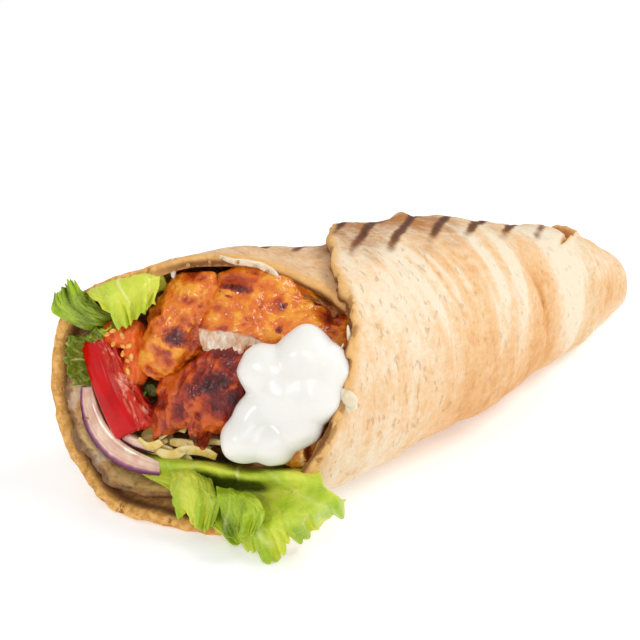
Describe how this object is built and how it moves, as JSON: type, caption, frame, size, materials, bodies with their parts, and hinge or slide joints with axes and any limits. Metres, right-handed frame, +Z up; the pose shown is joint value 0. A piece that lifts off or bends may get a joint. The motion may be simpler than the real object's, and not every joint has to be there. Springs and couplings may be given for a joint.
{
  "type": "shawarma wrap",
  "caption": "Rolled flatbread wrap lying on its side, open at one end on spiced chicken, tomato, onion, cabbage, lettuce and white garlic sauce.",
  "frame": {"origin": "centre of the bounding box's bottom face, on the surface that the wrap lies on", "axes": "+X runs along the roll from the open mouth to the folded tail, +Y to the far side, +Z up"},
  "size_m": [0.2192, 0.0898, 0.07],
  "materials": {
    "bread": "dry baked flatbread, cream with tan marks and dark griddle stripes",
    "bread_inside": "dry pale crumb",
    "chicken": "spiced and roasted, oily",
    "chicken_glazed": "dark sticky glaze",
    "filling": "chopped chicken, moist",
    "tomato": "smooth wet skin and flesh",
    "onion": "moist, pale with a purple edge",
    "cabbage": "moist shreds",
    "lettuce": "crisp leaf with pale veins",
    "sauce": "thick white garlic sauce, glossy"
  },
  "bodies": {
    "root": {"flatbread": "bread", "flatbread_lining": "bread_inside", "filling_core": "filling", "lettuce_front": "lettuce", "lettuce_left_lobe": "lettuce", "lettuce_middle_lobe": "lettuce", "lettuce_top": "lettuce", "lettuce_back": "lettuce", "lettuce_under": "lettuce", "lettuce_left": "lettuce", "tomato_wedge": "tomato", "tomato_pulp": "tomato", "onion_outer": "onion", "onion_inner": "onion", "cabbage": "cabbage", "chicken_top": "chicken", "chicken_left": "chicken", "chicken_front": "chicken_glazed", "chicken_right": "chicken", "sauce": "sauce"}
  },
  "joints": []
}
